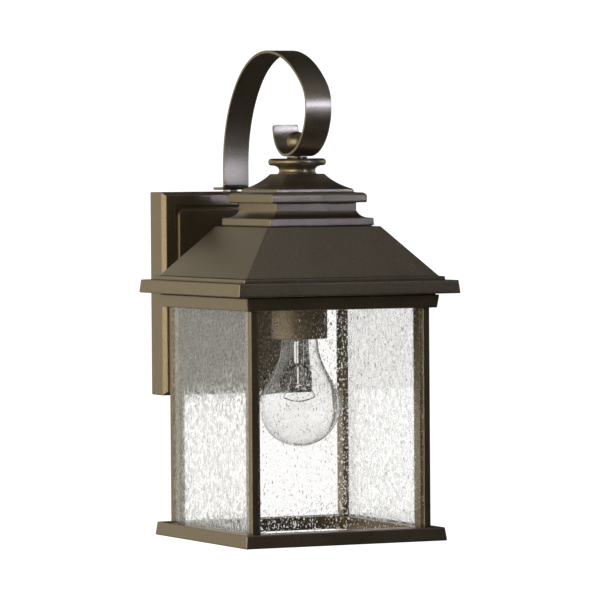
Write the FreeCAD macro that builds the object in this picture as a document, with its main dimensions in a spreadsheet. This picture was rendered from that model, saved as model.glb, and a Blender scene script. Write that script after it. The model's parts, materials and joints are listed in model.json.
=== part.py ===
import FreeCAD, Part
import math
import os
import Sketcher

# Outdoor wall lantern, in millimetres.
# Row frame: the origin is the centre of the backplate on the wall, +Y points into the wall,
# the lantern hangs out along -Y, +Z is up. Lantern pieces are drawn about the lantern's own
# upright axis, with z = 0 at the underside of the base, and their Placement moves them out.

doc = FreeCAD.newDocument("wall_lantern")
V = FreeCAD.Vector

DIMENSIONS = [
    ("axis_reach", 127.7, "wall to the lantern's upright axis"),
    ("axis_drop", 179.2, "base underside to the backplate's centre"),
    ("base_low", 81.3, "base frame half width at the bottom"),
    ("base_high", 80.0, "base frame half width at the top"),
    ("base_height", 9.84, "base frame height"),
    ("cage_half", 72.2, "outer faces of the corner posts"),
    ("cage_top", 170.7, "underside of the frieze"),
    ("post_lip_x", 5.3, "outer lip of a post along X"),
    ("post_lip_y", 5.0, "outer lip of a post along Y"),
    ("post_x", 7.6, "whole post along X"),
    ("post_y", 12.5, "whole post along Y"),
    ("rebate", 2.8, "depth of the glass rebate in a post"),
    ("pane", 2.3, "glass thickness"),
    ("pane_inset", 0.3, "glass behind the post's outer face"),
    ("pane_play", 0.4, "gap at each upright edge of a pane"),
    ("pane_low", 7.4, "bottom edge of a pane"),
    ("pane_high", 174.2, "top edge of a pane"),
    ("groove_in", 69.2, "glass groove, inner side"),
    ("groove_out", 72.4, "glass groove, outer side"),
    ("frieze_low", 76.5, "frieze half width at the bottom"),
    ("frieze_high", 77.8, "frieze half width at the top"),
    ("frieze_open", 62.0, "opening inside the frieze"),
    ("eave_z", 181.2, "underside of the eave tray"),
    ("eave_low", 89.4, "eave half width at the bottom"),
    ("eave_high", 88.3, "eave half width at the top"),
    ("eave_height", 9.8, "eave tray height"),
    ("tray_open", 74.0, "well in the eave tray"),
    ("ceiling", 2.5, "ceiling plate thickness"),
    ("screw_x", 67.0, "cage screws off the axis along X"),
    ("screw_y", 64.55, "cage screws off the axis along Y"),
    ("plate_w", 125.0, "backplate width"),
    ("plate_h", 153.4, "backplate height"),
    ("plate_side", 19.9, "depth of the backplate's side walls"),
    ("plate_deep", 23.2, "backplate depth to the front face"),
    ("plate_wall", 2.8, "backplate wall"),
    ("plate_cavity", 18.4, "depth of the wiring space"),
    ("stud_pitch", 50.0, "fixing studs above and below the centre"),
    ("box_half_pitch", 44.45, "slots for the box screws, off the centre"),
    ("arm_z", 206.2, "height of the arm's axis over the base"),
    ("arm_r", 9.0, "arm radius"),
    ("strap_w", 20.5, "scroll strap width"),
    ("strap_t", 2.0, "scroll strap thickness"),
    ("rod_r", 2.4, "centre rod radius"),
    ("rod_hole_r", 2.7, "clearance hole for the centre rod"),
    ("ring_r", 21.4, "finial ring radius"),
    ("cup_r", 21.1, "socket cup radius"),
    ("cup_low", 147.5, "socket cup lower edge"),
    ("cup_high", 205.0, "socket cup top"),
    ("bulb_r", 30.15, "bulb radius"),
    ("bulb_low", 67.7, "bulb's lowest point"),
    ("wire_r", 1.0, "insulated lead radius"),
]


def make_sheet():
    sheet = doc.addObject("Spreadsheet::Sheet", "Dims")
    for row, (alias, value, note) in enumerate(DIMENSIONS, 1):
        sheet.set("A%d" % row, note)
        sheet.set("B%d" % row, str(value))
        sheet.setAlias("B%d" % row, alias)
    doc.recompute()
    return sheet


SHEET = make_sheet()
NODES = []


def dim(alias):
    return float(SHEET.get(alias))


# ---------------------------------------------------------------- shared helpers

def node(obj, name, on_lantern=True):
    """Register a finished sub-part; lantern pieces are moved out to the lantern's axis."""
    obj.Label = name
    if on_lantern:
        obj.setExpression("Placement.Base.y", "-Dims.axis_reach")
        obj.setExpression("Placement.Base.z", "-Dims.axis_drop")
    NODES.append((name, obj))
    return obj


def new_body(name):
    return doc.addObject("PartDesign::Body", "body_" + name)


def sketch_on(body, plane, height="0"):
    """A sketch on one of the body's origin planes, raised by height along its normal."""
    support = [f for f in body.Origin.OriginFeatures if f.Role == plane][0]
    sketch = body.newObject("Sketcher::SketchObject", "sketch")
    sketch.AttachmentSupport = (support, [""])
    sketch.MapMode = "FlatFace"
    sketch.setExpression("AttachmentOffset.Base.z", height)
    return sketch


def bind(sketch, kind, args, expression):
    index = sketch.addConstraint(Sketcher.Constraint(kind, *args, 1.0))
    sketch.setExpression("Constraints[%d]" % index, expression)


def rectangle(sketch, half_x, half_y):
    """Rectangle about the sketch's origin; both halves are expressions on the sheet."""
    first = sketch.GeometryCount
    corners = [(-1, -1), (1, -1), (1, 1), (-1, 1)]
    for here, there in zip(corners, corners[1:] + corners[:1]):
        sketch.addGeometry(Part.LineSegment(V(*here, 0), V(*there, 0)), False)
    for side in range(4):
        after = first + (side + 1) % 4
        sketch.addConstraint(Sketcher.Constraint("Coincident", first + side, 2, after, 1))
        way = "Horizontal" if side % 2 == 0 else "Vertical"
        sketch.addConstraint(Sketcher.Constraint(way, first + side))
    sketch.addConstraint(Sketcher.Constraint("Symmetric", first, 1, first + 1, 2, -1, 1))
    bind(sketch, "DistanceX", (first, 1, first, 2), "2 * (%s)" % half_x)
    bind(sketch, "DistanceY", (first + 1, 1, first + 1, 2), "2 * (%s)" % half_y)


def circle(sketch, radius, x=0.0, y=0.0):
    """Circle at (x, y); the radius is an expression on the sheet."""
    index = sketch.addGeometry(Part.Circle(V(x, y, 0), V(0, 0, 1), 1.0), False)
    bind(sketch, "Radius", (index,), radius)


def outline(sketch, steps):
    """Closed outline: points (x, y), or ("arc", mid_point, end_point) for a round edge."""
    start = steps[0]
    here = start
    for step in steps[1:]:
        if step[0] == "arc":
            edge = Part.Arc(V(*here, 0), V(*step[1], 0), V(*step[2], 0))
            here = step[2]
        else:
            edge = Part.LineSegment(V(*here, 0), V(*step, 0))
            here = step
        sketch.addGeometry(edge, False)
    if math.dist(here, start) > 1e-6:
        sketch.addGeometry(Part.LineSegment(V(*here, 0), V(*start, 0)), False)


def pad(body, sketch, length, midplane=False, back=False):
    feature = body.newObject("PartDesign::Pad", "pad")
    feature.Profile = sketch
    feature.setExpression("Length", length)
    feature.Midplane = midplane
    feature.Reversed = back
    sketch.Visibility = False
    return feature


def tapered_pad(body, plane_height, low_half, high_half, height):
    """A square block whose sides lean evenly from the lower half width to the upper one."""
    sketch = sketch_on(body, "XY_Plane", plane_height)
    rectangle(sketch, low_half, low_half)
    feature = pad(body, sketch, height)
    feature.setExpression("TaperAngle", "atan((%s - %s) / (%s))" % (high_half, low_half, height))
    return feature


def pocket(body, sketch, length, back=False, midplane=False):
    feature = body.newObject("PartDesign::Pocket", "pocket")
    feature.Profile = sketch
    feature.setExpression("Length", length)
    feature.Reversed = back
    feature.Midplane = midplane
    sketch.Visibility = False
    return feature


def loft(body, low, high, kind="PartDesign::AdditiveLoft"):
    feature = body.newObject(kind, "loft")
    feature.Profile = low
    feature.Sections = [high]
    feature.Ruled = True
    return feature


def turned(name, steps, on_lantern=True):
    """A solid of revolution about the upright axis; steps are (radius, z) points."""
    body = new_body(name)
    sketch = sketch_on(body, "XZ_Plane")
    outline(sketch, steps)
    turn = body.newObject("PartDesign::Revolution", "turn")
    turn.Profile = sketch
    turn.ReferenceAxis = (sketch, ["V_Axis"])
    turn.Angle = 360
    node(body, name, on_lantern)
    return body


def ring_tool(body, plane, height, inner, outer, depth, back):
    """A square ring groove cut from the given height."""
    sketch = sketch_on(body, plane, height)
    rectangle(sketch, outer, outer)
    rectangle(sketch, inner, inner)
    return pocket(body, sketch, depth, back)


def round_edges(body, radius, wanted):
    """Fillet the edges of the body's tip for which wanted(edge) holds."""
    doc.recompute()
    tip = body.Tip
    names = ["Edge%d" % (k + 1) for k, edge in enumerate(tip.Shape.Edges) if wanted(edge)]
    fillet = body.newObject("PartDesign::Fillet", "fillet")
    fillet.Base = (tip, names)
    fillet.Radius = radius
    return fillet


def upright_corner(half):
    """Edges that climb at the four outer corners of a square block."""
    def wanted(edge):
        a, b = edge.Vertexes[0].Point, edge.Vertexes[-1].Point
        climbs = abs(a.z - b.z) > 1.0
        return climbs and min(abs(a.x), abs(a.y), abs(b.x), abs(b.y)) > half - 2.5
    return wanted


def rod_between(start, end, radius):
    """A plain cylinder from start to end."""
    start, end = V(*start), V(*end)
    return Part.makeCylinder(radius, (end - start).Length, start, end - start)


def shape_node(name, shape, on_lantern=True):
    """A sub-part whose shape is built directly, sized from the sheet."""
    feature = doc.addObject("Part::Feature", "shape_" + name)
    feature.Shape = shape
    return node(feature, name, on_lantern)


# ---------------------------------------------------------------- wall side

def cross_bracket():
    """Steel cross that screws to the wall box; the studs and the earth screw stand in it."""
    body = new_body("cross_bracket")
    arm, tall, half, corner = 57.0, 58.0, 10.0, 10.0
    sketch = sketch_on(body, "XZ_Plane")
    outline(sketch, [(-arm, -half), (-corner, -half), (-half, -tall), (half, -tall),
                     (corner, -half), (arm, -half), (arm, half), (corner, half),
                     (half, tall), (-half, tall), (-corner, half), (-arm, half)])
    pad(body, sketch, "2")
    holes = sketch_on(body, "XZ_Plane")
    circle(holes, "5.5")
    circle(holes, "1.75", -24.0, 0.0)
    for side in (-1, 1):
        circle(holes, "2.15", 0.0, side * dim("stud_pitch"))
        slot(holes, side * dim("box_half_pitch"), 0.0, 5.1, 2.4)
    pocket(body, holes, "6", midplane=True)
    node(body, "cross_bracket", False)


def slot(sketch, x, y, half_run, radius):
    """A slot along the sketch's X axis; half_run is from its middle to each end's centre."""
    outline(sketch, [(x - half_run, y - radius), (x + half_run, y - radius),
                     ("arc", (x + half_run + radius, y), (x + half_run, y + radius)),
                     (x - half_run, y + radius),
                     ("arc", (x - half_run - radius, y), (x - half_run, y - radius))])


def backplate():
    """Cast pan: side walls, a bevel, a flat rim, a square recess and a raised field."""
    body = new_body("backplate")
    half_w, half_h = dim("plate_w") / 2, dim("plate_h") / 2
    wall = sketch_on(body, "XZ_Plane")
    rectangle(wall, "Dims.plate_w / 2", "Dims.plate_h / 2")
    pad(body, wall, "Dims.plate_side")
    low = sketch_on(body, "XZ_Plane", "Dims.plate_side")
    rectangle(low, "Dims.plate_w / 2", "Dims.plate_h / 2")
    high = sketch_on(body, "XZ_Plane", "Dims.plate_deep")
    rectangle(high, "Dims.plate_w / 2 - 2.7", "Dims.plate_h / 2 - 2.7")
    loft(body, low, high)
    mouth = sketch_on(body, "XZ_Plane", "Dims.plate_deep")
    rectangle(mouth, "Dims.plate_w / 2 - 10", "Dims.plate_h / 2 - 10")
    floor = sketch_on(body, "XZ_Plane", "Dims.plate_deep - 2")
    rectangle(floor, "Dims.plate_w / 2 - 11.6", "Dims.plate_h / 2 - 11.6")
    loft(body, mouth, floor, "PartDesign::SubtractiveLoft")
    field = sketch_on(body, "XZ_Plane", "Dims.plate_deep - 2")
    rounded_rectangle(field, half_w - 13.7, half_h - 13.7, 4.5)
    pad(body, field, "1.4")
    cavity = sketch_on(body, "XZ_Plane")
    rectangle(cavity, "Dims.plate_w / 2 - Dims.plate_wall", "Dims.plate_h / 2 - Dims.plate_wall")
    pocket(body, cavity, "Dims.plate_cavity", back=True)
    holes = sketch_on(body, "XZ_Plane")
    circle(holes, "5.1", 0.0, dim("arm_z") - dim("axis_drop"))
    for side in (-1, 1):
        circle(holes, "2.6", 0.0, side * dim("stud_pitch"))
    pocket(body, holes, "Dims.plate_deep + 2", back=True)
    earth = sketch_on(body, "XZ_Plane")
    circle(earth, "1.75", -40.0, -30.0)
    pocket(body, earth, "Dims.plate_cavity + 3", back=True)
    foot = sketch_on(body, "XY_Plane", "Dims.plate_h / 2 - 6")
    circle(foot, "2.25", 0.0, -9.0)
    pocket(body, foot, "12", back=True)
    round_edges(body, 0.8, plate_corner(half_w, half_h))
    node(body, "backplate", False)


def rounded_rectangle(sketch, half_x, half_y, radius):
    """Rectangle about the sketch's origin with round corners."""
    nip = radius * (1 - math.sqrt(0.5))
    inner_x, inner_y = half_x - radius, half_y - radius
    outline(sketch, [
        (-inner_x, -half_y), (inner_x, -half_y),
        ("arc", (half_x - nip, nip - half_y), (half_x, -inner_y)), (half_x, inner_y),
        ("arc", (half_x - nip, half_y - nip), (inner_x, half_y)), (-inner_x, half_y),
        ("arc", (nip - half_x, half_y - nip), (-half_x, inner_y)), (-half_x, -inner_y),
        ("arc", (nip - half_x, nip - half_y), (-inner_x, -half_y))])


def plate_corner(half_w, half_h):
    """The four outer edges of the side walls that run out from the wall."""
    def wanted(edge):
        a, b = edge.Vertexes[0].Point, edge.Vertexes[-1].Point
        out = abs(a.y - b.y) > 10.0
        return out and abs(abs(a.x) - half_w) < 0.01 and abs(abs(a.z) - half_h) < 0.01
    return wanted


def stud_pair(name, shapes):
    """The same pieces at the upper and lower stud."""
    parts = []
    for side in (-1, 1):
        for shape in shapes:
            moved = shape.copy()
            moved.translate(V(0, 0, side * dim("stud_pitch")))
            parts.append(moved)
    shape_node(name, Part.makeCompound(parts), False)


def hex_prism(across_flats, height, base, direction):
    """A hexagonal prism standing on base along direction."""
    corner = across_flats / math.sqrt(3)
    points = [V(corner * math.cos(k * math.pi / 3), corner * math.sin(k * math.pi / 3), 0)
              for k in range(7)]
    prism = Part.Face(Part.makePolygon(points)).extrude(V(0, 0, height))
    prism.Placement = FreeCAD.Placement(V(*base), FreeCAD.Rotation(V(0, 0, 1), V(*direction)))
    return prism


def wall_fixings():
    """Studs from the bracket through the plate, with a washer and a domed nut on each."""
    front = dim("plate_deep") - 0.6
    stud_pair("mounting_studs", [rod_between((0, 0, 0), (0, -front - 7, 0), 2.05)])
    ring = rod_between((0, -front, 0), (0, -front - 1, 0), 6.0)
    stud_pair("stud_washers", [ring.cut(rod_between((0, 0, 0), (0, -40, 0), 2.4))])
    base = -front - 1
    prism = hex_prism(9.0, 4.0, (0, base, 0), (0, -1, 0))
    dome = Part.makeSphere(4.3, V(0, base - 5.5, 0))
    neck = rod_between((0, base - 3.5, 0), (0, base - 5.5, 0), 4.3)
    nut = prism.fuse(neck).fuse(dome).cut(rod_between((0, 0, 0), (0, base - 7, 0), 2.15))
    stud_pair("domed_nuts", [nut.removeSplitter()])


def earth_parts():
    """Earth screws on the bracket and in the plate, and the bare wire that joins them."""
    on_bracket = rod_between((-24, 0, 0), (-24, -3.9, 0), 1.6)
    on_bracket = on_bracket.fuse(rod_between((-24, -3.9, 0), (-24, -6.2, 0), 3.4))
    inner = -dim("plate_cavity")
    in_plate = rod_between((-40, inner - 2.9, -30), (-40, inner + 1.9, -30), 1.6)
    in_plate = in_plate.fuse(rod_between((-40, inner + 1.9, -30), (-40, inner + 4.2, -30), 3.4))
    shape_node("earth_screws", Part.makeCompound([on_bracket, in_plate]), False)
    loop = 2.7
    near = -2.0 - 0.9
    far = inner + 0.9
    points = [(-24 + loop * math.cos(a), near, loop * math.sin(a))
              for a in (math.radians(d) for d in (60, 10, -40, -90, -140))]
    points += [(-28.5, near - 0.6, -5.0), (-32.5, near - 5.0, -14.0), (-37.0, far + 0.8, -21.5)]
    points += [(-40 + loop * math.cos(a), far, -30 + loop * math.sin(a))
               for a in (math.radians(d) for d in (75, 25, -30, -85, -140))]
    shape_node("earth_wire", wire_along(points, 0.8), False)


def wire_along(points, radius):
    """A round wire along straight runs joined by tangent arcs, as wide as the runs allow."""
    corners = [V(*p) for p in points]
    edges = []
    here = corners[0]
    for before, corner, after in zip(corners, corners[1:], corners[2:]):
        back = (before - corner).normalize()
        ahead = (after - corner).normalize()
        turn = math.pi - back.getAngle(ahead)
        shorter = min((before - corner).Length, (after - corner).Length)
        if turn < 1e-3:
            continue
        setback = 0.45 * shorter
        bend = setback / math.tan(turn / 2)
        bisector = (back + ahead).normalize()
        middle = corner + bisector * (math.hypot(bend, setback) - bend)
        start, end = corner + back * setback, corner + ahead * setback
        edges.append(Part.LineSegment(here, start).toShape())
        edges.append(Part.Arc(start, middle, end).toShape())
        here = end
    edges.append(Part.LineSegment(here, corners[-1]).toShape())
    ring = Part.Wire(Part.makeCircle(radius, corners[0], corners[1] - corners[0]))
    return Part.Wire(edges).makePipeShell([ring], True, False)


# ---------------------------------------------------------------- arm and scroll

def arm():
    """Hollow arm with a flange on the plate, cut to the slope of the roof's back."""
    body = new_body("arm")
    reach = dim("axis_reach") - dim("plate_deep") + 0.6
    tube = sketch_on(body, "XZ_Plane", "-%s" % reach)
    circle(tube, "Dims.arm_r", 0.0, dim("arm_z"))
    pad(body, tube, "%s - 40" % reach)
    flange = sketch_on(body, "XZ_Plane", "-%s" % reach)
    circle(flange, "13", 0.0, dim("arm_z"))
    pad(body, flange, "3")
    bore = sketch_on(body, "XZ_Plane", "-%s" % (reach + 2))
    circle(bore, "6", 0.0, dim("arm_z"))
    pocket(body, bore, "90", back=True)
    slope = sketch_on(body, "YZ_Plane")
    (low_y, low_z), (high_y, high_z) = ROOF_FOOT, ROOF_HEAD
    run = 0.4
    ends = [(low_y + run * (low_y - high_y), low_z + run * (low_z - high_z)),
            (high_y - run * (low_y - high_y), high_z - run * (low_z - high_z))]
    outline(slope, [ends[0], ends[1], (0.0, ends[1][1]), (0.0, ends[0][1])])
    pocket(body, slope, "60", midplane=True)
    node(body, "arm")


ROOF_FOOT = (77.3, 194.1)
ROOF_HEAD = (45.7, 230.4)
BOSS_FACE = 50.0


def arm_fixings():
    """Hollow threaded tube through the arm, held by a nut in the plate and one in the roof."""
    z = dim("arm_z")
    back = dim("axis_reach") - 10.5
    front = BOSS_FACE - 5.5
    tube = rod_between((0, front, z), (0, back, z), 4.85)
    bore = rod_between((0, front - 1, z), (0, back + 1, z), 3.4)
    shape_node("arm_nipple", tube.cut(bore))
    hole = rod_between((0, 0, z), (0, 130, z), 4.95)
    plate_face = dim("axis_reach") - dim("plate_cavity")
    nuts = [hex_prism(14.0, 4.0, (0, plate_face, z), (0, 1, 0)).cut(hole),
            hex_prism(14.0, 4.0, (0, BOSS_FACE, z), (0, -1, 0)).cut(hole)]
    shape_node("arm_nuts", Part.makeCompound(nuts))


# The strap's bends after its upright run: degrees turned, radius of its outer face.
SCROLL = [(45, 90.4), (45, 73.8), (45, 87.6), (45, 23.4), (90, 36.7), (90, 21.9), ("line", 1.7)]


def scroll_strap():
    """Flat strap: a foot on the plate, an upright run, then one long curl over the lantern."""
    body = new_body("scroll_strap")
    thick = dim("strap_t")
    top = dim("plate_h") / 2 + dim("axis_drop") + 1.2 + thick
    right, left = [], []
    here, heading = V(127.3, top, 0), 180.0
    runs = [("line", 127.3 - 111.6), (-90, 2.0), ("line", 275.4 - top - 2.0)] + SCROLL
    for first, size in runs:
        ahead = V(math.cos(math.radians(heading)), math.sin(math.radians(heading)), 0)
        side = V(-ahead.y, ahead.x, 0)
        if first == "line":
            there = here + ahead * size
            right.append(Part.LineSegment(here, there))
            left.append(Part.LineSegment(here + side * thick, there + side * thick))
            here = there
            continue
        sign = 1 if first > 0 else -1
        centre = here + side * (sign * size)
        inner = size - sign * thick
        spots = []
        for turn in (0.0, first / 2.0, float(first)):
            angle = math.radians(heading + turn)
            spots.append(V(math.sin(angle), -math.cos(angle), 0) * sign)
        right.append(Part.Arc(*[centre + spot * size for spot in spots]))
        left.append(Part.Arc(*[centre + spot * inner for spot in spots]))
        here = centre + spots[2] * size
        heading += first
    sketch = sketch_on(body, "YZ_Plane")
    for edge in right + left:
        sketch.addGeometry(edge, False)
    for one, other in ((right[0], left[0]), (right[-1], left[-1])):
        ends = (one.StartPoint, other.StartPoint) if one is right[0] else (one.EndPoint, other.EndPoint)
        sketch.addGeometry(Part.LineSegment(*ends), False)
    pad(body, sketch, "Dims.strap_w", midplane=True)
    rod = sketch_on(body, "XY_Plane", "270")
    circle(rod, "Dims.rod_hole_r")
    pocket(body, rod, "20", back=True)
    screw = sketch_on(body, "XY_Plane", "250")
    circle(screw, "2.25", 0.0, dim("axis_reach") - 9.0)
    pocket(body, screw, "14", back=True)
    round_edges(body, 2.0, strap_tip)
    node(body, "scroll_strap")


def strap_tip(edge):
    """The short edges through the thickness at the curl's free end."""
    a, b = edge.Vertexes[0].Point, edge.Vertexes[-1].Point
    short = abs(edge.Length - dim("strap_t")) < 0.05
    return short and 303.5 < a.z < 308.0 and abs(a.x - b.x) < 0.01


def foot_fixings():
    """Screw, spacer and nut that hold the strap's foot to the top of the plate."""
    y = dim("axis_reach") - 9.0
    plate_top = dim("plate_h") / 2 + dim("axis_drop")
    tab_top = plate_top + 1.2 + dim("strap_t")
    inside = plate_top - dim("plate_wall")
    spacer = rod_between((0, y, plate_top), (0, y, plate_top + 1.2), 5.5)
    hole = rod_between((0, y, plate_top - 20), (0, y, plate_top + 20), 2.1)
    shape_node("foot_spacer", spacer.cut(hole))
    shank = rod_between((0, y, inside - 4.5), (0, y, tab_top), 2.0)
    head = rod_between((0, y, tab_top), (0, y, tab_top + 2.4), 3.9)
    head = head.makeFillet(0.9, [e for e in head.Edges if e.BoundBox.ZMin > tab_top + 2.3])
    shape_node("foot_screw", shank.fuse(head))
    nut = hex_prism(7.0, 3.0, (0, y, inside), (0, 0, -1)).cut(hole)
    shape_node("foot_nut", nut)


# ---------------------------------------------------------------- finial stack

def ball_nut():
    centre, radius, seat = 292.6, 7.75, 285.1
    neck = 4.6
    meet = centre - math.sqrt(radius ** 2 - neck ** 2)
    turned("ball_nut", [
        (2.5, seat), (neck, seat), (neck, meet),
        ("arc", (radius, centre), (0.0, centre + radius)),
        (0.0, 290.8), (2.5, 290.8)])


def curl_washer():
    turned("curl_washer", [(2.7, 280.6), (7.5, 280.6), (7.5, 281.9), (2.7, 281.9)])


def finial_collar():
    ring, low, high = dim("ring_r"), 275.3, 280.6
    edge = (high - low) / 2
    turned("finial_collar", [
        (2.7, 269.2), (14.6, 269.2), ("arc", (13.4, 271.6), (15.4, 274.6)), (17.4, low),
        (ring - edge, low), ("arc", (ring, low + edge), (ring - edge, high)), (2.7, high)])


def centre_rod():
    body = new_body("centre_rod")
    sketch = sketch_on(body, "XY_Plane", "196.5")
    circle(sketch, "Dims.rod_r")
    pad(body, sketch, "93.5")
    node(body, "centre_rod")


def rod_nuts():
    """Nuts above the bridge and under the stirrup's web."""
    hole = rod_between((0, 0, 180), (0, 0, 230), 2.5)
    nuts = [hex_prism(8.0, 4.0, (0, 0, z), (0, 0, 1)).cut(hole) for z in (198.7, 207.0)]
    shape_node("rod_nuts", Part.makeCompound(nuts))


def square_moulding(name, steps):
    """A square block whose half width follows the outline: two long prisms, one across the
    other, and what they share. The steps run from the axis, up one side, back to the axis."""
    prisms = []
    turns = [FreeCAD.Rotation(V(1, 0, 0), 90), FreeCAD.Rotation(V(1, 1, 1), 120)]
    for turn in turns:
        sketch = doc.addObject("Sketcher::SketchObject", "profile_" + name)
        outline(sketch, both_sides(steps))
        sketch.Placement = FreeCAD.Placement(V(0, 0, 0), turn)
        prism = doc.addObject("Part::Extrusion", "prism_" + name)
        prism.Base = sketch
        prism.DirMode = "Normal"
        prism.LengthFwd = 240
        prism.Symmetric = True
        prism.Solid = True
        prisms.append(prism)
    common = doc.addObject("Part::MultiCommon", "square_" + name)
    common.Shapes = prisms
    return common


def both_sides(steps):
    """The outline with its mirror image about the upright axis."""
    mirrored = [steps[0]]
    for step in steps[1:]:
        mirrored.append(step)
    here_points = [step[2] if step[0] == "arc" else step for step in steps]
    for index in range(len(steps) - 1, 0, -1):
        end_x, end_y = here_points[index - 1]
        if steps[index][0] == "arc":
            mid_x, mid_y = steps[index][1]
            mirrored.append(("arc", (-mid_x, mid_y), (-end_x, end_y)))
        else:
            mirrored.append((-end_x, end_y))
    return drop_repeats(mirrored)


def drop_repeats(steps):
    """Leave out points that repeat the one before, as the two on the axis do."""
    kept = [steps[0]]
    for step in steps[1:]:
        last = kept[-1][2] if kept[-1][0] == "arc" else kept[-1]
        end = step[2] if step[0] == "arc" else step
        if math.dist(last, end) > 1e-6:
            kept.append(step)
    if math.dist(kept[0], kept[-1] if kept[-1][0] != "arc" else kept[-1][2]) < 1e-6:
        kept.pop()
    return kept


def cut_node(name, base, tool_shapes, on_lantern=True):
    """The base less the tools, as one boolean."""
    tools = doc.addObject("Part::Feature", "tools_" + name)
    tools.Shape = Part.makeCompound(tool_shapes)
    cut = doc.addObject("Part::Cut", "cut_" + name)
    cut.Base = base
    cut.Tool = tools
    cut.Refine = True
    return node(cut, name, on_lantern)


def block(half, low, high):
    """A square prism about the axis."""
    return Part.makeBox(2 * half, 2 * half, high - low, V(-half, -half, low))


def upper_cap():
    """Lower band, cove, neck, upper band and the small roof above them, hollow inside."""
    base = square_moulding("upper_cap", [
        (0.0, 230.4), (41.0, 230.4), (41.0, 231.1), (41.9, 231.1), (42.2, 231.5),
        (41.9, 236.2), (41.4, 236.7), ("arc", (35.0, 238.5), (32.5, 242.3)), (32.5, 247.9),
        (37.4, 247.9), ("arc", (38.1, 248.3), (38.4, 249.0)), (38.4, 251.8),
        ("arc", (37.9, 254.0), (36.2, 255.2)), (31.7, 255.5), (31.2, 256.0), (31.0, 257.7),
        (30.4, 258.1), ("arc", (22.2, 262.4), (15.0, 269.2)), (0.0, 269.2)])
    hollow = block(28.5, 229.0, 252.0)
    rod = rod_between((0, 0, 229), (0, 0, 280), dim("rod_hole_r"))
    cut_node("upper_cap", base, [hollow, rod])


def main_roof():
    """Four slopes over a thin step, hollow, with a boss at the back that takes the arm."""
    (foot_y, foot_z), (head_y, head_z) = ROOF_FOOT, ROOF_HEAD
    outer = square_moulding("main_roof", [
        (0.0, 191.0), (80.9, 191.0), (80.7, 193.4), (80.3, 193.8), (foot_y, foot_z),
        (head_y, head_z), (0.0, head_z)])
    inner = square_moulding("roof_cavity", [
        (0.0, 190.0), (74.0, 190.0), (74.0, 194.1), (43.5, 227.9), (0.0, 227.9)])
    shell = doc.addObject("Part::Cut", "roof_shell")
    shell.Base = outer
    shell.Tool = inner
    z = dim("arm_z")
    stub = doc.addObject("Part::Feature", "boss_stub")
    stub.Shape = rod_between((0, BOSS_FACE, z), (0, 80.0, z), 8.2)
    boss = doc.addObject("Part::MultiCommon", "boss_in_slope")
    boss.Shapes = [outer, stub]
    joined = doc.addObject("Part::MultiFuse", "roof_with_boss")
    joined.Shapes = [shell, boss]
    tube = rod_between((0, 40, z), (0, 90, z), 5.1)
    rod = rod_between((0, 0, 215), (0, 0, 240), dim("rod_hole_r"))
    cut_node("main_roof", joined, [tube, rod])


# ---------------------------------------------------------------- cage

def eave_tray():
    """Wide square tray: the cage's ceiling below, a well above, and a hollow drip edge."""
    body = new_body("eave_tray")
    tapered_pad(body, "Dims.eave_z", "Dims.eave_low", "Dims.eave_high", "Dims.eave_height")
    round_edges(body, 0.9, lambda edge: True)
    well = sketch_on(body, "XY_Plane", "Dims.eave_z + Dims.eave_height")
    rectangle(well, "Dims.tray_open", "Dims.tray_open")
    pocket(body, well, "Dims.eave_height - Dims.ceiling")
    ring_tool(body, "XY_Plane", "Dims.eave_z", "79.5", "86.6", "Dims.eave_height - 2.5", True)
    holes = sketch_on(body, "XY_Plane", "Dims.eave_z + Dims.ceiling")
    circle(holes, "Dims.cup_r + 0.5")
    for x, y in cage_corners():
        circle(holes, "1.7", x, y)
    for side in (-1, 1):
        circle(holes, "1.85", side * 46.0, 0.0)
    pocket(body, holes, "Dims.ceiling + 1")
    node(body, "eave_tray")


def cage_corners():
    return [(sx * dim("screw_x"), sy * dim("screw_y")) for sx in (-1, 1) for sy in (-1, 1)]


def frieze():
    """Square frame under the eave; the panes' top edges slide up into its groove."""
    body = new_body("frieze")
    tapered_pad(body, "Dims.cage_top", "Dims.frieze_low", "Dims.frieze_high",
                "Dims.eave_z - 0.9 - Dims.cage_top")
    round_edges(body, 0.8, lambda edge: True)
    neck = sketch_on(body, "XY_Plane", "Dims.eave_z - 1.5")
    rectangle(neck, "75.5", "75.5")
    pad(body, neck, "1.5")
    opening = sketch_on(body, "XY_Plane", "Dims.cage_top - 1")
    rectangle(opening, "Dims.frieze_open", "Dims.frieze_open")
    pocket(body, opening, "15", back=True)
    ring_tool(body, "XY_Plane", "Dims.cage_top", "Dims.groove_in", "Dims.groove_out", "7.2", True)
    holes = sketch_on(body, "XY_Plane", "Dims.cage_top - 1")
    for x, y in cage_corners():
        circle(holes, "1.7", x, y)
    pocket(body, holes, "15", back=True)
    node(body, "frieze")


def base_frame():
    """Square frame under the posts, open in the middle, grooved for the panes."""
    body = new_body("base_frame")
    tapered_pad(body, "0", "Dims.base_low", "Dims.base_high", "Dims.base_height")
    round_edges(body, 0.9, lambda edge: True)
    for half_x, half_y in (("63.5", "58"), ("58", "64")):
        opening = sketch_on(body, "XY_Plane", "-1")
        rectangle(opening, half_x, half_y)
        pocket(body, opening, "15", back=True)
    ring_tool(body, "XY_Plane", "Dims.base_height", "Dims.groove_in", "Dims.groove_out",
              "Dims.base_height - 7.0", False)
    for radius, depth in (("1.7", "15"), ("3.4", "3.5")):
        holes = sketch_on(body, "XY_Plane", "-0.5")
        for x, y in cage_corners():
            circle(holes, radius, x, y)
        pocket(body, holes, depth, back=True)
    node(body, "base_frame")


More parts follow.
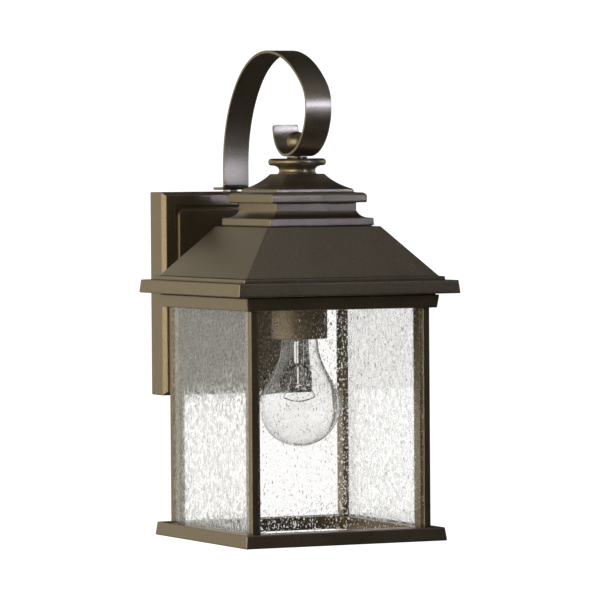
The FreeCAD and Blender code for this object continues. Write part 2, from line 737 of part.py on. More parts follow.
def post(name, side_x, side_y):
    """Corner post: an outer lip, and an inner leg behind both panes."""
    body = new_body(name)
    lip_x, lip_y = dim("post_lip_x"), dim("post_lip_y")
    whole_x, whole_y, rebate = dim("post_x"), dim("post_y"), dim("rebate")
    section = [(0, 0), (lip_x, 0), (lip_x, rebate), (whole_x, rebate), (whole_x, whole_y),
               (rebate, whole_y), (rebate, lip_y), (0, lip_y)]
    corner = dim("cage_half")
    sketch = sketch_on(body, "XY_Plane", "Dims.base_height")
    outline(sketch, [(side_x * (corner - u), side_y * (corner - v)) for u, v in section])
    pad(body, sketch, "Dims.cage_top - Dims.base_height")
    x, y = side_x * dim("screw_x"), side_y * dim("screw_y")
    for height, back in (("Dims.base_height", True), ("Dims.cage_top", False)):
        hole = sketch_on(body, "XY_Plane", height)
        circle(hole, "1.6", x, y)
        pocket(body, hole, "10", back=back)
    round_edges(body, 0.6, upright_corner(corner))
    node(body, name)


def posts():
    for depth, side_y in (("front", -1), ("back", 1)):
        for hand, side_x in (("left", -1), ("right", 1)):
            post("post_%s_%s" % (depth, hand), side_x, side_y)


def pane(name, across_x, side):
    """A flat pane standing in the post rebates, its ends in the base's and frieze's grooves.
    It runs along X or along Y, on one side of the axis."""
    lip = dim("post_lip_x") if across_x else dim("post_lip_y")
    long_half = dim("cage_half") - lip - dim("pane_play")
    thin = dim("pane") / 2
    middle = side * (dim("cage_half") - dim("pane_inset") - thin)
    corners = [(-long_half, middle - thin), (long_half, middle - thin),
               (long_half, middle + thin), (-long_half, middle + thin)]
    if not across_x:
        corners = [(y, x) for x, y in corners]
    body = new_body(name)
    sketch = sketch_on(body, "XY_Plane", "Dims.pane_low")
    outline(sketch, corners)
    pad(body, sketch, "Dims.pane_high - Dims.pane_low")
    node(body, name)


def panes():
    pane("pane_front", True, -1)
    pane("pane_back", True, 1)
    pane("pane_left", False, -1)
    pane("pane_right", False, 1)


def cage_screws():
    """Screws down through the ceiling and frieze, and up through the base, into the posts."""
    top = dim("eave_z") + dim("ceiling")
    down, up = [], []
    for x, y in cage_corners():
        shank = rod_between((x, y, dim("cage_top") - 8), (x, y, top), 1.5)
        down.append(shank.fuse(rod_between((x, y, top), (x, y, top + 2.2), 3.0)))
        shank = rod_between((x, y, 3.0), (x, y, dim("base_height") + 8), 1.5)
        up.append(shank.fuse(rod_between((x, y, 0.9), (x, y, 3.0), 3.0)))
    shape_node("upper_cage_screws", Part.makeCompound(down))
    shape_node("lower_cage_screws", Part.makeCompound(up))


# ---------------------------------------------------------------- lamp holder

def socket_bridge():
    """Folded steel bridge standing on the ceiling; the rod and the lamp holder meet in it."""
    body = new_body("socket_bridge")
    floor, web = dim("eave_z") + dim("ceiling"), dim("cup_high")
    side = sketch_on(body, "XZ_Plane")
    outline(side, [
        (-50, floor), (-38, floor), (-38, web), (38, web), (38, floor), (50, floor),
        (50, floor + 2), (40, floor + 2), (40, web + 2), (-40, web + 2), (-40, floor + 2),
        (-50, floor + 2)])
    pad(body, side, "34", midplane=True)
    holes = sketch_on(body, "XY_Plane", "Dims.eave_z")
    circle(holes, "Dims.rod_hole_r")
    circle(holes, "4.5", 0.0, 11.0)
    for x in (-46.0, 46.0):
        circle(holes, "2", x, 0.0)
    pocket(body, holes, "30", back=True)
    node(body, "socket_bridge")


def bridge_screws():
    floor = dim("eave_z") + dim("ceiling")
    screws = []
    for x in (-46, 46):
        shank = rod_between((x, 0, dim("eave_z")), (x, 0, floor + 2), 1.75)
        screws.append(shank.fuse(rod_between((x, 0, floor + 2), (x, 0, floor + 4.2), 3.3)))
    shape_node("bridge_screws", Part.makeCompound(screws))


def socket_cup():
    radius, wall = dim("cup_r"), 0.8
    low, high = dim("cup_low"), dim("cup_high")
    body = turned("socket_cup", [
        (radius - wall, low), (radius, low), (radius, high - 1.2), (radius - 1.2, high),
        (dim("rod_hole_r"), high), (dim("rod_hole_r"), high - wall),
        (radius - wall - 1.0, high - wall), (radius - wall, high - wall - 1.0)])
    hole = sketch_on(body, "XY_Plane", "Dims.cup_high - 3")
    circle(hole, "4.5", 0.0, 11.0)
    pocket(body, hole, "6", back=True)


def socket_stirrup():
    """Steel loop between the cup's top and the porcelain."""
    low, high, wall = 186.0, dim("cup_high") - 0.8, 1.5
    body = new_body("socket_stirrup")
    side = sketch_on(body, "XZ_Plane")
    outline(side, [(-14, low), (14, low), (14, high), (-14, high)])
    outline(side, [(-12.5, low + wall), (12.5, low + wall), (12.5, high - wall),
                   (-12.5, high - wall)])
    pad(body, side, "12", midplane=True)
    rod = sketch_on(body, "XY_Plane", "195")
    circle(rod, "Dims.rod_hole_r")
    pocket(body, rod, "20", back=True)
    holes = sketch_on(body, "XY_Plane", "180")
    for x in (-8.0, 8.0):
        circle(holes, "1.6", x, 0.0)
    pocket(body, holes, "10", back=True)
    node(body, "socket_stirrup")


def socket_screws():
    screws = []
    for x in (-8, 8):
        shank = rod_between((x, 0, 182.3), (x, 0, 187.5), 1.3)
        screws.append(shank.fuse(rod_between((x, 0, 187.5), (x, 0, 189.3), 2.6)))
    shape_node("socket_screws", Part.makeCompound(screws))


def socket_body():
    """Porcelain holder: a deep bore for the screw shell and two wells for the leads."""
    body = turned("socket_body", [
        (14.3, 152.0), (17.5, 152.0), (18.5, 153.0), (18.5, 184.5), (17.0, 186.0),
        (0.0, 186.0), (0.0, 180.0), (14.3, 180.0)])
    wells = sketch_on(body, "XY_Plane", "186")
    for x in (-4.0, 4.0):
        circle(wells, "1.6", x, 12.0)
    pocket(body, wells, "4")
    screws = sketch_on(body, "XY_Plane", "186")
    for x in (-8.0, 8.0):
        circle(screws, "1.35", x, 0.0)
    pocket(body, screws, "4")


def socket_metal():
    turned("socket_shell", [
        (13.45, 154.0), (13.9, 154.0), (13.9, 180.0), (8.0, 180.0), (8.0, 179.5),
        (13.45, 179.5)])
    turned("socket_contact", [(0.0, 178.2), ("arc", (2.17, 178.48), (4.2, 179.3)),
                              (4.2, 180.0), (0.0, 180.0)])


# ---------------------------------------------------------------- bulb

def bulb_side(gap):
    """The bulb's outline from its lowest point up to the neck, moved inwards by gap.
    A round lower half runs tangent into a flowing neck."""
    radius = dim("bulb_r")
    centre = dim("bulb_low") + radius
    lean = math.radians(30)
    shoulder = V((radius - gap) * math.cos(lean), centre + (radius - gap) * math.sin(lean), 0)
    ahead = V(-math.sin(lean), math.cos(lean), 0)
    collar = V(14.0 - gap, 147.0, 0)
    ball = Part.Arc(V(0, centre - radius + gap, 0),
                    V((radius - gap) * math.cos(-lean), centre - (radius - gap) * math.sin(lean), 0),
                    shoulder)
    neck = Part.BSplineCurve()
    neck.buildFromPolesMultsKnots(
        [shoulder, shoulder + ahead * 15.0, collar - V(0, 13.0, 0), collar],
        [4, 4], [0.0, 1.0], False, 3)
    return ball, neck, collar


def bulb_glass():
    wall = 0.7
    ball, neck, collar = bulb_side(0.0)
    inner_ball, inner_neck, inner_collar = bulb_side(wall)
    body = new_body("bulb_glass")
    sketch = sketch_on(body, "XZ_Plane")
    tail = [(collar.x, collar.y), (13.2, 150.6), (12.2, 152.2), (12.2, 157.0),
            (12.2 - wall, 157.0), (12.2 - wall, 152.0), (inner_collar.x, inner_collar.y)]
    for edge in (ball, neck, inner_ball, inner_neck):
        sketch.addGeometry(edge, False)
    for here, there in zip(tail, tail[1:]):
        sketch.addGeometry(Part.LineSegment(V(*here, 0), V(*there, 0)), False)
    low = dim("bulb_low")
    sketch.addGeometry(Part.LineSegment(V(0, low, 0), V(0, low + wall, 0)), False)
    turn = body.newObject("PartDesign::Revolution", "turn")
    turn.Profile = sketch
    turn.ReferenceAxis = (sketch, ["V_Axis"])
    turn.Angle = 360
    node(body, "bulb_glass")


def bulb_shell():
    """Threaded shell: rounded ridges, hollow, with a flared rim over the glass."""
    low, pitch, turns = 153.6, 3.6, 5
    root, crest, wall = 12.6, 13.15, 0.25
    steps = [(13.3, 151.6), (root + wall, low)]
    for k in range(turns):
        z = low + k * pitch
        steps.append(("arc", (crest, z + pitch / 2), (root + wall, z + pitch)))
    top = low + turns * pitch
    steps += [("arc", (12.3, top + 1.6), (9.2, top + 2.4)), (9.2, top + 2.0),
              ("arc", (11.9, top + 1.2), (root, top))]
    steps += [(root, low), (13.0, 151.6)]
    turned("bulb_shell", steps)


def bulb_end():
    """Black glass insulator and the solder contact at the very end."""
    turned("bulb_insulator", [
        (0.0, 173.8), (9.0, 173.8), (9.0, 174.1), (5.2, 176.6), (0.0, 176.6)])
    turned("bulb_contact", [
        (0.0, 176.6), (4.6, 176.6), ("arc", (2.8, 177.36), (0.8, 177.7)), (0.0, 177.7)])


def bulb_inside():
    """Glass stem, the two support leads and the coiled filament between their tips."""
    turned("bulb_stem", [
        (0.0, 152.0), (10.6, 152.0), ("arc", (5.6, 149.6), (3.8, 143.0)), (3.6, 130.0),
        (1.8, 126.0), (1.5, 114.0), (2.3, 112.4), ("arc", (1.7, 110.9), (0.6, 110.2)),
        (0.0, 110.2)])
    leads = []
    tips = []
    for side in (-1, 1):
        foot, knee, tip = (side * 3.0, 0, 126.4), (side * 3.6, 0, 122.0), (side * 13.0, 0, 104.0)
        lead = rod_between(foot, knee, 0.35).fuse(rod_between(knee, tip, 0.35))
        lead = lead.fuse(Part.makeSphere(0.35, V(*knee)))
        leads.append(lead.removeSplitter())
        tips.append(tip)
    shape_node("bulb_leads", Part.makeCompound(leads))
    reach = tips[1][0] - 0.75
    coil = wire_along([(-reach, 0, 103.8), (-reach / 2, 0, 101.6), (0, 0, 100.8),
                       (reach / 2, 0, 101.6), (reach, 0, 103.8)], 0.45)
    shape_node("bulb_filament", coil)


# ---------------------------------------------------------------- leads

def lead(name, side):
    """Lead from its connector in the plate, through the arm and roof, into the lamp holder."""
    reach, drop, z = dim("axis_reach"), dim("axis_drop"), dim("arm_z")
    points = [(30.0, reach - 8.0, drop + 50.0), (30.0, reach - 8.0, drop + 41.0),
              (23.0, reach - 7.2, drop + 31.5), (10.0, reach - 6.2, drop + 27.6),
              (4.2, reach - 7.4, z), (1.8, reach - 10.6, z), (1.5, reach - 15.0, z),
              (1.5, 90.0, z), (1.5, 60.0, z), (1.5, 45.0, z), (1.5, 38.0, z + 1.4),
              (1.5, 28.0, z + 6.0), (1.5, 18.5, z + 7.0), (1.5, 12.5, z + 4.0),
              (1.5, 11.0, z - 1.0), (1.6, 11.0, 198.0), (3.0, 11.6, 192.0),
              (4.0, 12.0, 187.5), (4.0, 12.0, 183.0)]
    shape_node(name, wire_along([(side * x, y, h) for x, y, h in points], dim("wire_r")))


def leads():
    lead("lead_black", -1)
    lead("lead_white", 1)
    reach, drop = dim("axis_reach"), dim("axis_drop")
    caps = []
    for side in (-1, 1):
        mouth = V(side * 30.0, reach - 8.0, drop + 43.5)
        cone = Part.makeCone(5.6, 3.6, 20.0, mouth, V(0, 0, 1))
        caps.append(cone.cut(Part.makeCylinder(2.8, 12.0, mouth, V(0, 0, 1))))
    shape_node("wire_connectors", Part.makeCompound(caps))


# ---------------------------------------------------------------- build and export

def build():
    for make in (cross_bracket, backplate, wall_fixings, earth_parts, arm, arm_fixings,
                 scroll_strap, foot_fixings, ball_nut, curl_washer, finial_collar, centre_rod,
                 rod_nuts, upper_cap, main_roof, eave_tray, frieze, base_frame, posts, panes,
                 cage_screws, socket_bridge, bridge_screws, socket_cup, socket_stirrup,
                 socket_screws, socket_body, socket_metal, bulb_glass, bulb_shell, bulb_end,
                 bulb_inside, leads):
        make()
    doc.recompute()


def check():
    """Stop on any feature that failed, or any sub-part that isn't whole closed solids."""
    faults = []
    for obj in doc.Objects:
        if "Invalid" in obj.State or "Error" in obj.State:
            faults.append("%s is invalid" % obj.Name)
    for name, obj in NODES:
        shape = obj.Shape
        if shape.isNull() or not shape.isValid() or not shape.Solids:
            faults.append("%s has no valid solid" % name)
        elif min(solid.Volume for solid in shape.Solids) <= 0:
            faults.append("%s has a solid without volume" % name)
    if faults:
        raise RuntimeError("; ".join(faults))


def export():
    os.makedirs("parts", exist_ok=True)
    for name, obj in NODES:
        obj.Shape.exportStep("parts/%s.step" % name)


build()
check()
export()
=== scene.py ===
"""Looks for the outdoor wall lantern: materials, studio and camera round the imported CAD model.

Everything is in metres in the row frame: the wall is the plane y = 0, the lantern stands out
towards -Y, and Z is up.
"""

import json
import math
import random

import bmesh
import bpy
from mathutils import Matrix, Vector


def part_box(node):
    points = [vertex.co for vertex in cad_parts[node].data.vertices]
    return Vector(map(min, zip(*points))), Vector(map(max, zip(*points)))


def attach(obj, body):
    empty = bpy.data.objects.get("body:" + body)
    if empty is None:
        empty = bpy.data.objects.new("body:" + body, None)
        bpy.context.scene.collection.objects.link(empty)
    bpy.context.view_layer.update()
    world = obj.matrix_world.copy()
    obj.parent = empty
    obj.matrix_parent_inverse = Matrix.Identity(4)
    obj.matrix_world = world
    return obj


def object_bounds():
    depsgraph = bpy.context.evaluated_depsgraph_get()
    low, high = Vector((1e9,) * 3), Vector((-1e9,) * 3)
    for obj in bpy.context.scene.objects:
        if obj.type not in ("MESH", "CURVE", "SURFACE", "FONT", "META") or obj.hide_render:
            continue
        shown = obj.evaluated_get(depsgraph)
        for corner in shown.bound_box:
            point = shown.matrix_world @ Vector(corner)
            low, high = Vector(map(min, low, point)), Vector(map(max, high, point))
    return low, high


MM = 0.001

MIX_FIRST, MIX_SECOND, MIX_RESULT = 6, 7, 2   # colour sockets of Blender's Mix node
FLAT_BELOW, SHARP_ABOVE = 0.02, 0.25          # 1 - cos of the angle that a rounded edge turns
GLASS_IOR = 1.5

# Air seeds in each pane. Each triple is the least, the most and the commonest.
SEED_COUNTS = {"front": 700, "back": 600, "left": 1200, "right": 1200}
SEED_HALF_WIDTH_MM = (0.12, 0.50, 0.22)
SEED_STRETCH = (1.0, 4.0, 1.5)

DIM_WORLD = 0.035
WHITE_WORLD = 1.16
LIGHT_BOUNCES = 28
FLOOR_DROP = 3.9
FLOOR_RADIUS = 24.0

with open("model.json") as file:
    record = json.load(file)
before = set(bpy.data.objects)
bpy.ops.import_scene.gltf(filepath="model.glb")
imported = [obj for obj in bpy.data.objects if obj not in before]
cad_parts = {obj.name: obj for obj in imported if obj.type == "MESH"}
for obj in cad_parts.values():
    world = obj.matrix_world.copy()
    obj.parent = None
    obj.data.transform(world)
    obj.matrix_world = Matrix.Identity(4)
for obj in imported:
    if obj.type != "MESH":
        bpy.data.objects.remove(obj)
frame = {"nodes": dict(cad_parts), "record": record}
NODES = frame["nodes"]
CAD_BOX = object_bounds()


# ---------------------------------------------------------------- shader helpers

class Recipe:
    """Builds one material's nodes. Patterns use object coordinates, so they ride with the piece."""

    def __init__(self, name):
        self.material = bpy.data.materials.new(name)
        self.material.use_nodes = True
        self.tree = self.material.node_tree
        self.tree.nodes.clear()
        self.output = self.tree.nodes.new("ShaderNodeOutputMaterial")
        self.place = self.tree.nodes.new("ShaderNodeTexCoord").outputs["Object"]

    def add(self, kind, inputs=None, **settings):
        """A node with its settings; an input is either a value or another node's socket."""
        node = self.tree.nodes.new(kind)
        for key, value in settings.items():
            setattr(node, key, value)
        for key, value in (inputs or {}).items():
            if isinstance(value, bpy.types.NodeSocket):
                self.tree.links.new(value, node.inputs[key])
            else:
                node.inputs[key].default_value = value
        return node

    def stretched(self, scale):
        """Object coordinates scaled by (x, y, z) repeats per metre."""
        return self.add("ShaderNodeMapping", {"Vector": self.place, "Scale": scale}).outputs[0]

    def noise(self, per_metre, detail=2.0, rough=0.5, vector=None):
        node = self.add("ShaderNodeTexNoise", {
            "Vector": vector or self.place, "Scale": per_metre, "Detail": detail,
            "Roughness": rough})
        return node.outputs["Fac"]

    def cells(self, per_metre):
        return self.add("ShaderNodeTexVoronoi", {"Vector": self.place, "Scale": per_metre})

    def spread(self, value, low, high, out_low=0.0, out_high=1.0):
        """Maps low..high to out_low..out_high, held at both ends."""
        return self.add("ShaderNodeMapRange", {
            "Value": value, "From Min": low, "From Max": high,
            "To Min": out_low, "To Max": out_high}).outputs[0]

    def maths(self, operation, first, second=0.0):
        return self.add("ShaderNodeMath", {0: first, 1: second}, operation=operation).outputs[0]

    def blend(self, amount, first, second):
        """Colour first where amount is 0, second where it is 1."""
        node = self.add("ShaderNodeMix", {"Factor": amount}, data_type="RGBA")
        for socket, value in ((node.inputs[MIX_FIRST], first),
                              (node.inputs[MIX_SECOND], second)):
            if isinstance(value, bpy.types.NodeSocket):
                self.tree.links.new(value, socket)
            else:
                socket.default_value = (*value, 1.0)
        return node.outputs[MIX_RESULT]

    def soft_normal(self, radius):
        """Surface normal as if every sharp edge had this radius."""
        return self.add("ShaderNodeBevel", {"Radius": radius}, samples=4).outputs[0]

    def edges(self, radius):
        """1 on sharp edges, 0 on flat ground."""
        true = self.add("ShaderNodeNewGeometry").outputs["Normal"]
        aligned = self.add("ShaderNodeVectorMath", {0: self.soft_normal(radius), 1: true},
                           operation="DOT_PRODUCT").outputs["Value"]
        return self.spread(self.maths("SUBTRACT", 1.0, aligned), FLAT_BELOW, SHARP_ABOVE)

    def bump(self, height, depth, strength=1.0, normal=None):
        inputs = {"Height": height, "Distance": depth, "Strength": strength}
        if normal is not None:
            inputs["Normal"] = normal
        return self.add("ShaderNodeBump", inputs).outputs[0]

    def principled(self, **inputs):
        named = {key.replace("_", " "): value for key, value in inputs.items()}
        colour = named.get("Base Color")
        if isinstance(colour, tuple):
            named["Base Color"] = (*colour, 1.0)
        return self.add("ShaderNodeBsdfPrincipled", named).outputs[0]

    def finish(self, shader):
        self.tree.links.new(shader, self.output.inputs["Surface"])
        return self.material


# ---------------------------------------------------------------- metals

def bronze_paint():
    """Warm bronze metallic paint over sand-cast metal: fine grain, flake, and sharp edges painted
    lighter in patches as a painted highlight.
    """
    r = Recipe("bronze_paint")
    grain = r.noise(1150.0, 2.0, 0.6)
    broad = r.noise(30.0, 3.0, 0.55)
    flake = r.cells(1700.0).outputs["Color"]
    glint = r.spread(flake, 0.72, 1.0)
    # Painted highlight: sharp edges lightened towards pale bronze in patches, standing in for rounded
    # edges catching the light.
    painted_edge_highlight = r.maths("MULTIPLY", r.edges(0.6 * MM), r.spread(r.noise(160.0), 0.35, 0.6, 0.25, 0.7))
    tone = r.blend(r.spread(broad, 0.3, 0.7), (0.218, 0.170, 0.104), (0.252, 0.200, 0.126))
    tone = r.blend(r.spread(grain, 0.30, 0.60), (0.16, 0.124, 0.074), tone)
    tone = r.blend(r.maths("MULTIPLY", glint, 0.22), tone, (0.50, 0.43, 0.32))
    # Painted highlight on the sharp edges.
    tone = r.blend(painted_edge_highlight, tone, (0.46, 0.37, 0.23))
    rough = r.maths("ADD", r.spread(grain, 0.3, 0.7, 0.33, 0.41),
                    r.spread(broad, 0.3, 0.7, -0.03, 0.03))
    normal = r.bump(grain, 0.035 * MM, 0.8, r.soft_normal(1.1 * MM))
    return r.finish(r.principled(Base_Color=tone, Metallic=0.94, Roughness=rough, Normal=normal,
                                 Coat_Weight=0.12, Coat_Roughness=0.28))


def plated_steel(name, colour, darker, rough_low, rough_high):
    """Rolled or turned metal: faint brushed lines, a mottled plating and edges painted brighter as a
    painted highlight.
    """
    r = Recipe(name)
    lines = r.noise(1.0, 2.0, 0.5, r.stretched((300.0, 300.0, 2600.0)))
    mottle = r.noise(240.0, 4.0, 0.6)
    tone = r.blend(r.spread(mottle, 0.35, 0.65), darker, colour)
    # Painted highlight: edges painted a quarter brighter than the plating.
    tone = r.blend(r.edges(0.4 * MM), tone, tuple(min(1.0, c * 1.25) for c in colour))
    rough = r.spread(r.maths("ADD", lines, mottle), 0.6, 1.4, rough_low, rough_high)
    normal = r.bump(lines, 0.02 * MM, 0.5, r.soft_normal(0.25 * MM))
    return r.finish(r.principled(Base_Color=tone, Metallic=1.0, Roughness=rough, Normal=normal))


def zinc_steel():
    return plated_steel("zinc_steel", (0.62, 0.62, 0.60), (0.44, 0.45, 0.45), 0.25, 0.42)


def brass():
    return plated_steel("brass", (0.72, 0.50, 0.20), (0.50, 0.33, 0.12), 0.22, 0.40)


def bare_copper():
    return plated_steel("bare_copper", (0.72, 0.34, 0.19), (0.45, 0.19, 0.10), 0.25, 0.45)


def bulb_cap_metal():
    return plated_steel("bulb_cap_metal", (0.70, 0.68, 0.62), (0.55, 0.52, 0.46), 0.20, 0.36)


def nickel_lead():
    """Nickel-plated leads inside the lamp."""
    return plated_steel("nickel_lead", (0.60, 0.59, 0.56), (0.46, 0.45, 0.43), 0.20, 0.36)


def tungsten():
    return plated_steel("tungsten", (0.34, 0.33, 0.32), (0.18, 0.17, 0.17), 0.30, 0.50)


def earth_green():
    """Green dyed steel earth screw."""
    return plated_steel("earth_green", (0.08, 0.34, 0.14), (0.03, 0.18, 0.07), 0.28, 0.45)


# ---------------------------------------------------------------- glass

def lets_light_in(r, glass, tint):
    """Glass whose shadow is nearly clear, so that lamps light what is behind it."""
    clear = r.add("ShaderNodeBsdfTransparent", {"Color": (*tint, 1.0)}).outputs[0]
    ray = r.add("ShaderNodeLightPath").outputs["Is Shadow Ray"]
    return r.add("ShaderNodeMixShader", {0: ray, 1: glass, 2: clear}).outputs[0]


def pane_glass():
    """Seeded sheet glass: a slow wave and frosted specks, crowding into upright grains on the
    side panes."""
    r = Recipe("pane_glass")
    specks = r.spread(r.noise(1.0, 1.0, 0.5, r.stretched((760.0, 760.0, 500.0))), 0.645, 0.695)
    drawn = r.noise(1.0, 1.0, 0.5, r.stretched((600.0, 300.0, 190.0)))
    facing = r.add("ShaderNodeTexCoord").outputs["Normal"]
    sideways = r.maths("ABSOLUTE", r.add("ShaderNodeSeparateXYZ", {0: facing}).outputs[0])
    grains = r.maths("MULTIPLY", r.spread(drawn, 0.56, 0.60), r.spread(sideways, 0.4, 0.6))
    frosted = r.maths("MAXIMUM", specks, grains)
    wave = r.noise(1.0, 1.0, 0.5, r.stretched((60.0, 60.0, 12.0)))
    normal = r.bump(frosted, 0.04 * MM, 1.0, r.bump(wave, 0.06 * MM, 0.5))
    rough = r.spread(frosted, 0.0, 1.0, 0.0, 0.34)
    glass = r.principled(Base_Color=(1.0, 0.996, 0.988), Roughness=rough, IOR=GLASS_IOR,
                         Transmission_Weight=1.0, Normal=normal)
    return r.finish(lets_light_in(r, glass, (0.93, 0.93, 0.92)))


def seed_air():
    """Air in the glass: the same clear glass, entered from its inner side."""
    r = Recipe("seed_air")
    skin = r.noise(900.0, 1.0, 0.5)
    glass = r.principled(Base_Color=(1.0, 1.0, 1.0), Roughness=0.0, IOR=GLASS_IOR,
                         Transmission_Weight=1.0, Normal=r.bump(skin, 0.01 * MM, 0.5))
    return r.finish(lets_light_in(r, glass, (0.98, 0.98, 0.98)))


def bulb_glass():
    """Blown lamp glass, very slightly uneven."""
    r = Recipe("bulb_glass")
    uneven = r.noise(70.0, 1.0, 0.4)
    glass = r.principled(Base_Color=(0.985, 0.985, 0.98), Roughness=0.0, IOR=GLASS_IOR,
                         Transmission_Weight=1.0, Normal=r.bump(uneven, 0.25 * MM, 0.5))
    return r.finish(lets_light_in(r, glass, (0.96, 0.96, 0.955)))


# ---------------------------------------------------------------- insulators and wire

def porcelain():
    """Glazed white porcelain with small dark specks and a soft orange-peel glaze."""
    r = Recipe("porcelain")
    cloud = r.noise(120.0, 3.0)
    speck = r.spread(r.cells(420.0).outputs["Distance"], 0.06, 0.12, 1.0, 0.0)
    tone = r.blend(r.spread(cloud, 0.3, 0.7), (0.78, 0.75, 0.69), (0.86, 0.84, 0.79))
    tone = r.blend(r.maths("MULTIPLY", speck, 0.5), tone, (0.35, 0.30, 0.25))
    return r.finish(r.principled(
        Base_Color=tone, Roughness=r.spread(cloud, 0.3, 0.7, 0.16, 0.30),
        Normal=r.bump(r.noise(500.0), 0.06 * MM, 0.5, r.soft_normal(0.4 * MM)),
        Coat_Weight=0.5, Coat_Roughness=0.1))


def moulded(name, colour, darker, grain_per_metre, rough_low, rough_high):
    """Moulded plastic, rubber or extruded insulation with a fine matt grain."""
    r = Recipe(name)
    grain = r.noise(grain_per_metre, 3.0, 0.6)
    cloud = r.noise(150.0, 2.0)
    tone = r.blend(r.spread(cloud, 0.3, 0.7), darker, colour)
    rough = r.spread(grain, 0.3, 0.7, rough_low, rough_high)
    normal = r.bump(grain, 0.05 * MM, 0.6, r.soft_normal(0.3 * MM))
    return r.finish(r.principled(Base_Color=tone, Roughness=rough, Normal=normal))


def rubber_washer():
    return moulded("rubber_washer", (0.035, 0.034, 0.033), (0.018, 0.018, 0.018), 1200.0, 0.6, 0.8)


def lead_black():
    return moulded("lead_black", (0.028, 0.028, 0.030), (0.015, 0.015, 0.016), 1500.0, 0.34, 0.5)


def lead_white():
    return moulded("lead_white", (0.78, 0.77, 0.74), (0.66, 0.65, 0.61), 1500.0, 0.34, 0.5)


def connector_plastic():
    return moulded("connector_plastic", (0.72, 0.26, 0.05), (0.60, 0.20, 0.04), 900.0, 0.35, 0.5)


def bulb_insulator():
    return moulded("bulb_insulator", (0.030, 0.028, 0.035), (0.012, 0.012, 0.016), 400.0, 0.10, 0.22)


MAKERS = (bronze_paint, pane_glass, bulb_glass, zinc_steel, rubber_washer, earth_green, bare_copper,
          porcelain, brass, bulb_cap_metal, bulb_insulator, tungsten, lead_black, lead_white,
          connector_plastic)


def dress_nodes():
    """Gives every CAD node its slot's material; only the lamp's leads get nickel instead."""
    finishes = {make.__name__: make() for make in MAKERS}
    for part in frame["record"]["subparts"]:
        for held in NODES[part["node"]].material_slots:
            held.material = finishes[part["material_slot"]]
    for held in NODES["bulb_leads"].material_slots:
        held.material = nickel_lead()


# ---------------------------------------------------------------- seeds in the glass

def ball_template():
    """Corners and faces of a small round ball, its faces turned inwards."""
    shape = bmesh.new()
    bmesh.ops.create_icosphere(shape, subdivisions=2, radius=1.0)
    corners = [vert.co.copy() for vert in shape.verts]
    faces = [[vert.index for vert in reversed(face.verts)] for face in shape.faces]
    shape.free()
    return corners, faces


def glass_seeds(name, pane, count, ball, finish):
    """Air seeds drawn out upright in one pane, facing inwards so that light enters air."""
    low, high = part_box(pane)
    dice = random.Random(name)
    across_x = high.x - low.x > high.y - low.y
    corners, faces = ball
    verts, polygons = [], []
    for _ in range(count):
        wide = dice.triangular(*SEED_HALF_WIDTH_MM) * MM
        tall = wide * dice.triangular(*SEED_STRETCH)
        bend = dice.uniform(-0.5, 0.5) * wide
        gap = Vector((wide * 1.3, wide * 1.3, tall * 1.1))
        at = [dice.uniform(a, b) for a, b in zip(low + gap, high - gap)]
        first = len(verts)
        for corner in corners:
            side = wide * corner.x + bend * corner.z ** 2
            deep = wide * 0.8 * corner.y
            x, y = (side, deep) if across_x else (deep, side)
            verts.append((at[0] + x, at[1] + y, at[2] + tall * corner.z))
        polygons += [[first + index for index in face] for face in faces]
    mesh = bpy.data.meshes.new(name)
    mesh.from_pydata(verts, [], polygons)
    mesh.shade_smooth()
    mesh.materials.append(finish)
    piece = bpy.data.objects.new(name, mesh)
    bpy.context.scene.collection.objects.link(piece)
    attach(piece, "lantern")


def all_seeds():
    air, ball = seed_air(), ball_template()
    for side, count in SEED_COUNTS.items():
        glass_seeds("seeds_" + side, "pane_" + side, count, ball, air)


# ---------------------------------------------------------------- studio

def softbox(name, centre, aim, width, height, watts, colour, spread=180.0):
    """Area light that no camera ray meets, even through glass; spread is its beam in degrees."""
    lamp = bpy.data.lights.new(name, "AREA")
    lamp.spread = math.radians(spread)
    lamp.shape = "RECTANGLE"
    lamp.size = width
    lamp.size_y = height
    lamp.energy = watts
    lamp.color = colour
    holder = bpy.data.objects.new(name, lamp)
    holder.location = centre
    holder.rotation_mode = "QUATERNION"
    holder.rotation_quaternion = (aim - centre).to_track_quat("-Z", "Y")
    holder.visible_camera = False
    holder.visible_transmission = False
    bpy.context.scene.collection.objects.link(holder)


def studio(middle):
    """Warm lights behind the wall plane and on the left, cool ones right, above and in front."""
    def beside(x, y, z):
        return middle + Vector((x, y, z))

    curl = Vector((0.0, -0.16, 0.15))
    softbox("glow_behind", beside(-1.0, 2.4, 0.1), middle, 4.0, 2.4, 23.0, (1.0, 0.95, 0.80))
    softbox("wrap_left", beside(-2.2, 0.2, 0.2), middle, 1.7, 1.5, 16.0, (1.0, 0.94, 0.82))
    softbox("key_left", beside(-2.0, -0.85, 0.3), middle, 0.35, 1.5, 8.0, (1.0, 0.90, 0.76))
    softbox("side_left", beside(-1.5, -1.35, 0.2), middle, 1.5, 1.5, 20.0, (1.0, 0.96, 0.86))
    softbox("side_right", beside(2.3, 0.4, 0.3), middle, 1.4, 1.4, 8.0, (0.95, 0.97, 1.0))
    softbox("top", beside(0.1, -0.5, 1.8), middle, 1.5, 1.2, 3.6, (0.74, 0.80, 1.0))
    softbox("fill_curl", Vector((0.33, -0.84, 0.23)), curl, 0.20, 0.12, 0.045, (0.50, 0.585, 1.0),
            spread=12.0)
    softbox("fill_high", Vector((0.33, -0.84, 0.30)), curl, 0.20, 0.16, 0.24, (0.62, 0.68, 1.0))
    softbox("front_top", Vector((0.2, -0.75, 0.62)), curl, 0.6, 0.4, 0.35, (0.72, 0.78, 1.0))


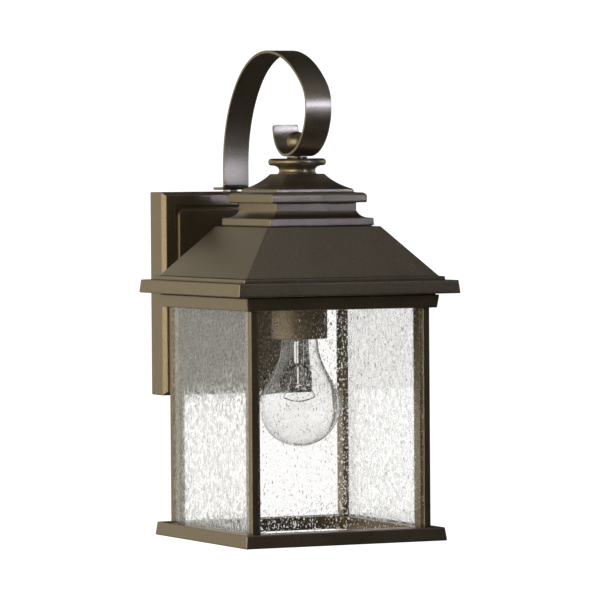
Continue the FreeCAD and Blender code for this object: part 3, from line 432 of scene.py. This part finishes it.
def white_room():
    """White where the camera looks at it, directly or through glass; dim grey as a light.

    Metal seen through glass mirrors the white only where it lies behind it or to the left."""
    world = bpy.data.worlds.new("white_room")
    world.use_nodes = True
    tree = world.node_tree
    tree.nodes.clear()

    def joined(kind, *sources, **settings):
        node = tree.nodes.new(kind)
        for key, value in settings.items():
            setattr(node, key, value)
        for socket, source in zip(node.inputs, sources):
            if isinstance(source, bpy.types.NodeSocket):
                tree.links.new(source, socket)
            else:
                socket.default_value = source
        return node.outputs[0]

    path = tree.nodes.new("ShaderNodeLightPath").outputs
    heading = tree.nodes.new("ShaderNodeTexCoord").outputs["Generated"]
    away = joined("ShaderNodeVectorMath", heading, (-0.75, 0.66, 0.0), operation="DOT_PRODUCT")
    away = away.node.outputs["Value"]
    behind = joined("ShaderNodeMapRange", away, -0.05, 0.25)
    unbent = joined("ShaderNodeMath", path["Glossy Depth"], 0.5, operation="LESS_THAN")
    backed = joined("ShaderNodeMath", unbent, behind, operation="MAXIMUM")
    undiffused = joined("ShaderNodeMath", path["Diffuse Depth"], 0.5, operation="LESS_THAN")
    straight = joined("ShaderNodeMath", backed, undiffused, operation="MULTIPLY")
    through = joined("ShaderNodeMath", path["Is Transmission Ray"], straight, operation="MULTIPLY")
    seen = joined("ShaderNodeMath", path["Is Camera Ray"], through, operation="MAXIMUM")
    dim = joined("ShaderNodeBackground", (0.95, 0.97, 1.0, 1.0), DIM_WORLD)
    white = joined("ShaderNodeBackground", (1.0, 1.0, 1.0, 1.0), WHITE_WORLD)
    either = joined("ShaderNodeMixShader", seen, dim, white)
    out = tree.nodes.new("ShaderNodeOutputWorld")
    tree.links.new(either, out.inputs["Surface"])
    scene = bpy.context.scene
    scene.world = world
    scene.view_settings.view_transform = "Standard"
    scene.cycles.max_bounces = LIGHT_BOUNCES
    scene.cycles.transmission_bounces = LIGHT_BOUNCES
    scene.cycles.transparent_max_bounces = LIGHT_BOUNCES


def pale_floor(below):
    """Large round floor, well below the lantern as under a wall light."""
    shape = bmesh.new()
    bmesh.ops.create_circle(shape, cap_ends=True, segments=96, radius=FLOOR_RADIUS)
    mesh = bpy.data.meshes.new("floor")
    shape.to_mesh(mesh)
    shape.free()
    floor = bpy.data.objects.new("floor", mesh)
    floor.location = (0.0, -0.13, below)
    floor.visible_glossy = False
    bpy.context.scene.collection.objects.link(floor)
    r = Recipe("pale_floor")
    cloud = r.noise(1.5, 2.0)
    tone = r.blend(cloud, (0.80, 0.80, 0.79), (0.86, 0.86, 0.85))
    mesh.materials.append(r.finish(r.principled(
        Base_Color=tone, Roughness=0.9, Emission_Color=(1.0, 1.0, 0.99, 1.0),
        Emission_Strength=0.55)))


# ---------------------------------------------------------------- camera

def camera():
    """Long lens, nearly level with the lantern's middle, turned to see the front and the left side."""
    azimuth = math.radians(-25.43)
    elevation = math.radians(1.67)
    roll = math.radians(-0.42)
    aim = Vector((0.0, -0.1310, -0.0032))
    distance = 3.532
    back = Vector((math.sin(azimuth) * math.cos(elevation),
                   -math.cos(azimuth) * math.cos(elevation), math.sin(elevation)))
    right = Vector((math.cos(azimuth), math.sin(azimuth), 0.0))
    up = back.cross(right)
    turned_right = right * math.cos(roll) + up * math.sin(roll)
    turned_up = up * math.cos(roll) - right * math.sin(roll)
    lens = bpy.data.cameras.new("camera")
    lens.sensor_width = 36.0
    lens.lens = 286.9
    lens.clip_start = 0.1
    lens.clip_end = 100.0
    holder = bpy.data.objects.new("camera", lens)
    turn = Matrix((turned_right, turned_up, back)).transposed().to_4x4()
    holder.matrix_world = Matrix.Translation(aim + back * distance) @ turn
    bpy.context.scene.collection.objects.link(holder)
    bpy.context.scene.camera = holder


middle = (CAD_BOX[0] + CAD_BOX[1]) / 2
camera()
dress_nodes()
all_seeds()
studio(middle)
white_room()
pale_floor(CAD_BOX[0].z - FLOOR_DROP)
